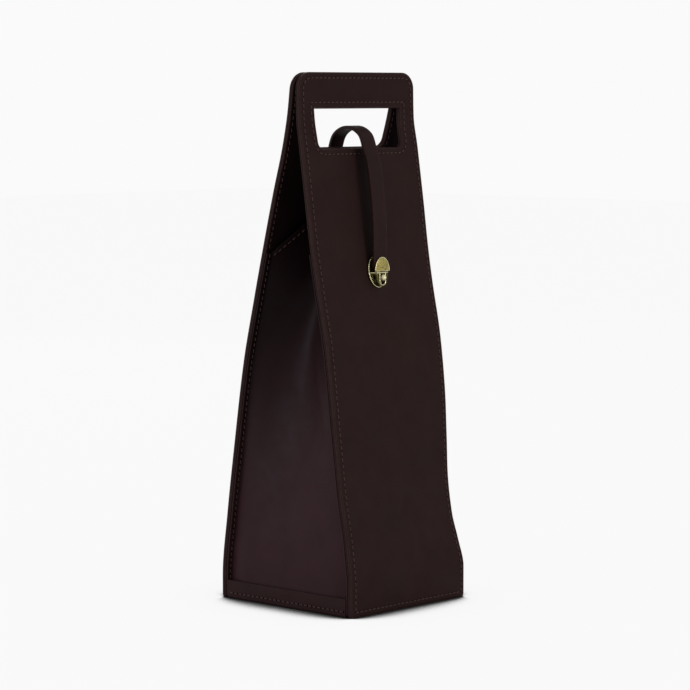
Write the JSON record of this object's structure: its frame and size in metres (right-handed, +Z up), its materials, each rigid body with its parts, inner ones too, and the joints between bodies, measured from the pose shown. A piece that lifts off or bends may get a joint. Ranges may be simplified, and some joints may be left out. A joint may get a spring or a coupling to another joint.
{
  "type": "wine caddy",
  "caption": "Upright stiff leather carrier for a wine bottle, with slotted carrying handles, folding side gussets and a strap closed by a small sprung brass lock.",
  "frame": {"origin": "centre of the base at the surface it stands on", "axes": "+Z up along the height, the front wall with the lock faces -Y, +X to the right as seen from the back"},
  "size_m": [0.118, 0.125, 0.37],
  "materials": {
    "outer_leather": "smooth dark brown cowhide, low sheen",
    "gusset_leather": "softer dark leather with a light sheen",
    "dark_lining": "dark lining leather, matt",
    "fibre_board": "pressed fibre board, raw",
    "antique_brass": "aged brass, polished high points",
    "spring_steel": "drawn wire"
  },
  "bodies": {
    "root": {"back_outer_leather": "outer_leather", "back_stiffener_board": "fibre_board", "back_lining": "dark_lining", "base_outer_leather": "outer_leather", "base_board": "fibre_board", "base_lining": "dark_lining", "left_gusset_back_half": "gusset_leather", "right_gusset_back_half": "gusset_leather", "strap_sewn_end": "outer_leather"},
    "front_wall": {"front_outer_leather": "outer_leather", "front_stiffener_board": "fibre_board", "front_lining": "dark_lining", "left_gusset_front_half": "gusset_leather", "right_gusset_front_half": "gusset_leather", "lock_base_plate": "antique_brass", "lock_backing_plate": "antique_brass", "lock_housing": "antique_brass", "lock_spring": "spring_steel"},
    "strap_flap": {"strap_free_end": "outer_leather", "catch_front_plate": "antique_brass", "catch_back_plate": "antique_brass"},
    "lock_slider": {"slider_bar": "antique_brass", "slider_knob": "antique_brass"}
  },
  "joints": [
    {"name": "mouth_open", "type": "hinge", "parent": "root", "child": "front_wall", "pos_m": [0, -0.0625, 0], "axis": [1, 0, 0], "range_deg": [0, 8]},
    {"name": "strap_lift", "type": "hinge", "parent": "front_wall", "child": "strap_flap", "pos_m": [0, -0.02464, 0.32156], "axis": [-1, 0, 0], "range_deg": [0, 100]},
    {"name": "slider_press", "type": "slide", "parent": "front_wall", "child": "lock_slider", "axis": [0, -0.0269, -0.9996], "range_m": [0, 0.0026], "stiffness_N_per_m": 150, "springref_m": -0.002, "deforming": ["lock_spring"]}
  ]
}
